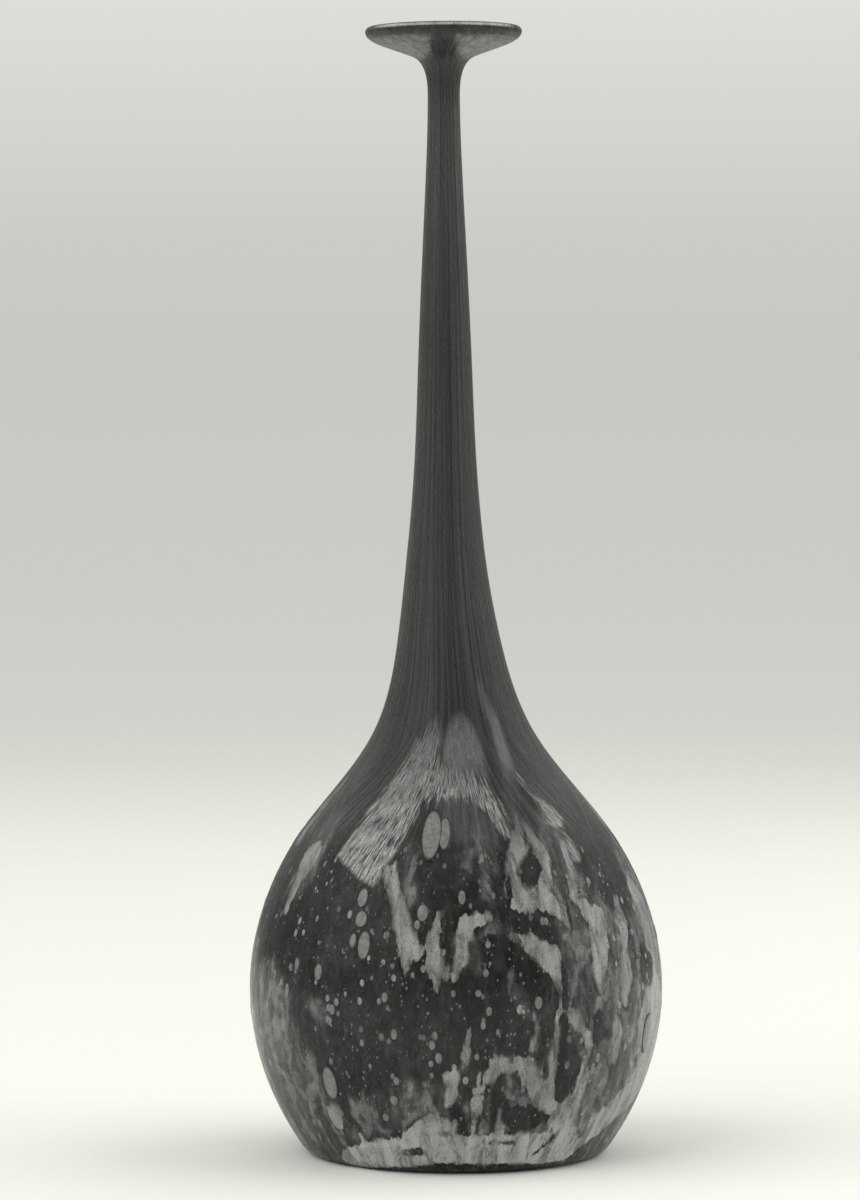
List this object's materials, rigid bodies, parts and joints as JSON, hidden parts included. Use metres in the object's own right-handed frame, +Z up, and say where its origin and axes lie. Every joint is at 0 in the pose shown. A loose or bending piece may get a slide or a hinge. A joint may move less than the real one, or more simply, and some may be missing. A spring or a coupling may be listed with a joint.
{
  "type": "long-necked glass bottle",
  "caption": "Hollow blown-glass bottle with a round belly, a slender tapering neck and a wide flared lip, in dark mottled glass.",
  "frame": {"origin": "centre of the belly's axis, on the surface that the bottle stands on", "axes": "+Z up along the belly's axis, towards the lip; -Y towards the front; the neck leans a little towards -X"},
  "size_m": [0.125, 0.125, 0.3402],
  "materials": {
    "mottled_glass": "dark translucent glass with paler streaks and patches and small drawn bubbles, glossy"
  },
  "bodies": {
    "root": {"bottle": "mottled_glass"}
  },
  "joints": []
}
